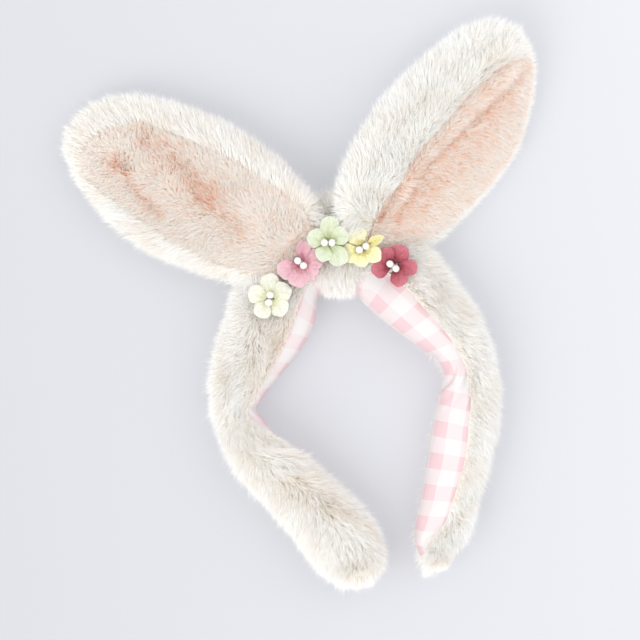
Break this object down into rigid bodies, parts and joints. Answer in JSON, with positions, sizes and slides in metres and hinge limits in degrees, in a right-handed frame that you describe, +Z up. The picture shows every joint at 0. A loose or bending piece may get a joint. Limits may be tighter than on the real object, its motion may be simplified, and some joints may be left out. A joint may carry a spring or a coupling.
{
  "type": "plush rabbit-ear headband",
  "caption": "Fur-covered hair band with two posable plush rabbit ears, a checked cotton lining and a row of cloth flowers.",
  "frame": {"origin": "middle of the head opening, on the plane that the headband rests on when it lies on its side", "axes": "+Z up off the resting plane, +Y from the head opening towards the ears, +X to the right as seen from above"},
  "size_m": [0.2546, 0.312, 0.0474],
  "materials": {
    "cream_fur": "matte",
    "pink_plush": "matte",
    "gingham_lining": "matte",
    "band_foam": "matte",
    "ear_wadding": "matte",
    "band_strip": "satin",
    "strip_tip": "satin",
    "ear_wire": "satin",
    "pearl_stamens": "gloss",
    "petals_cream": "matte",
    "petals_pink": "matte",
    "petals_green": "matte",
    "petals_yellow": "matte",
    "petals_burgundy": "matte"
  },
  "bodies": {
    "crown": {"crown_strip": "band_strip", "crown_padding": "band_foam", "left_shoulder_fur": "cream_fur", "right_shoulder_fur": "cream_fur", "left_shoulder_lining": "gingham_lining", "right_shoulder_lining": "gingham_lining", "crown_wrap": "cream_fur", "left_ear_tab": "cream_fur", "right_ear_tab": "cream_fur", "cream_flower_petals": "petals_cream", "cream_flower_stamens": "pearl_stamens", "pink_flower_petals": "petals_pink", "pink_flower_stamens": "pearl_stamens", "green_flower_petals": "petals_green", "green_flower_stamens": "pearl_stamens", "yellow_flower_petals": "petals_yellow", "yellow_flower_stamens": "pearl_stamens", "burgundy_flower_petals": "petals_burgundy", "burgundy_flower_stamens": "pearl_stamens"},
    "left_arm": {"left_arm_strip": "band_strip", "left_strip_tip": "strip_tip", "left_arm_padding": "band_foam", "left_arm_fur": "cream_fur", "left_arm_lining": "gingham_lining"},
    "right_arm": {"right_arm_strip": "band_strip", "right_strip_tip": "strip_tip", "right_arm_padding": "band_foam", "right_arm_fur": "cream_fur", "right_arm_lining": "gingham_lining"},
    "left_ear_lower": {"left_ear_back_lower": "cream_fur", "left_ear_front_lower": "pink_plush", "left_ear_wadding_lower": "ear_wadding", "left_ear_wire_lower": "ear_wire"},
    "left_ear_upper": {"left_ear_back_upper": "cream_fur", "left_ear_front_upper": "pink_plush", "left_ear_wadding_upper": "ear_wadding", "left_ear_wire_upper": "ear_wire"},
    "right_ear_lower": {"right_ear_back_lower": "cream_fur", "right_ear_front_lower": "pink_plush", "right_ear_wadding_lower": "ear_wadding", "right_ear_wire_lower": "ear_wire"},
    "right_ear_upper": {"right_ear_back_upper": "cream_fur", "right_ear_front_upper": "pink_plush", "right_ear_wadding_upper": "ear_wadding", "right_ear_wire_upper": "ear_wire"}
  },
  "joints": [
    {"name": "left_arm_spread", "type": "hinge", "parent": "crown", "child": "left_arm", "pos_m": [-0.0635, -0.004, 0.017], "axis": [0, 0, -1], "range_deg": [-3, 18], "stiffness_Nm_per_rad": 0.8},
    {"name": "right_arm_spread", "type": "hinge", "parent": "crown", "child": "right_arm", "pos_m": [0.0675, 0.01, 0.017], "axis": [0, 0, 1], "range_deg": [-3, 18], "stiffness_Nm_per_rad": 0.8},
    {"name": "left_ear_fold", "type": "hinge", "parent": "crown", "child": "left_ear_lower", "pos_m": [-0.0408, 0.0877, 0.02], "axis": [0.4671, 0.8826, 0.0522], "range_deg": [-30, 50]},
    {"name": "left_ear_bend", "type": "hinge", "parent": "left_ear_lower", "child": "left_ear_upper", "pos_m": [-0.09171, 0.11497, 0.01446], "axis": [0.4671, 0.8826, 0.0522], "range_deg": [-40, 60]},
    {"name": "right_ear_fold", "type": "hinge", "parent": "crown", "child": "right_ear_lower", "pos_m": [0.0139, 0.0966, 0.025], "axis": [0.7369, -0.5276, -0.4226], "range_deg": [-30, 50]},
    {"name": "right_ear_bend", "type": "hinge", "parent": "right_ear_lower", "child": "right_ear_upper", "pos_m": [0.04715, 0.14413, 0.02364], "axis": [0.7369, -0.5276, -0.4226], "range_deg": [-40, 60]}
  ]
}
